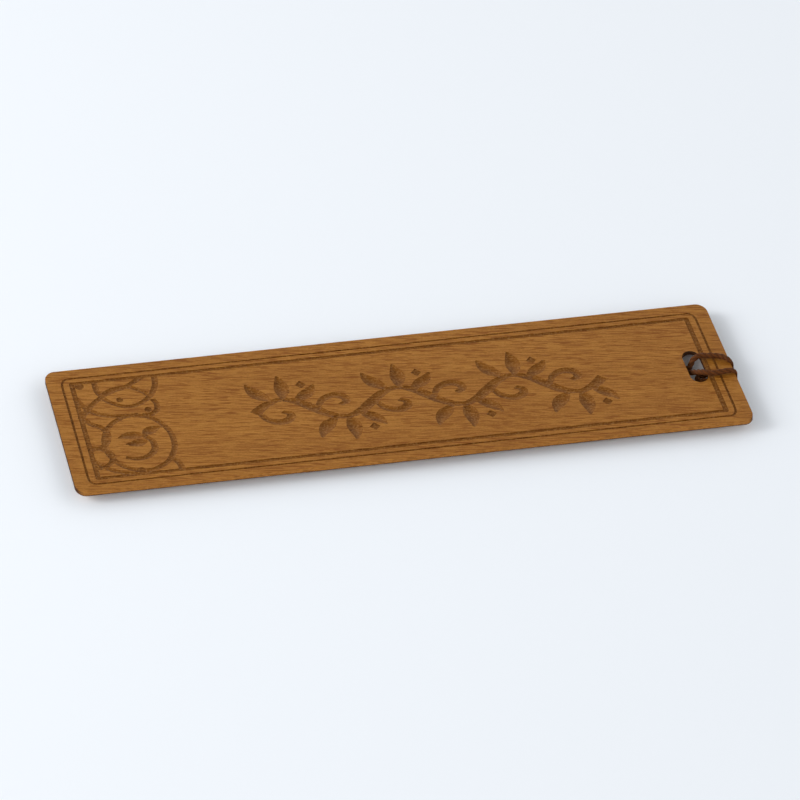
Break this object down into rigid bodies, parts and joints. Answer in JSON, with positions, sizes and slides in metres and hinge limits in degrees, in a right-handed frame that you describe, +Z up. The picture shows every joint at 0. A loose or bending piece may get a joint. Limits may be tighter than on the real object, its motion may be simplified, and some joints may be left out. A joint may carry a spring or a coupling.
{
  "type": "wooden plaque",
  "caption": "Thin flat wooden plaque with rounded corners, an engraved double frame and a slot at one end, with a twisted cord looped through the slot and round that end.",
  "frame": {"origin": "on the table, under the middle of the bounding box of the plaque and the cord's wrap", "axes": "+X along the plaque towards the end with the slot and cord, +Y across it, +Z up out of the engraved face"},
  "size_m": [0.1514, 0.049, 0.004],
  "materials": {
    "beech": "bare sanded beech, laser engraved",
    "twisted_cord": "matt twisted brown cord"
  },
  "bodies": {
    "root": {"wooden_plaque": "beech", "cord_wrap": "twisted_cord", "cord_tail_far": "twisted_cord", "cord_tail_near": "twisted_cord"}
  },
  "joints": []
}
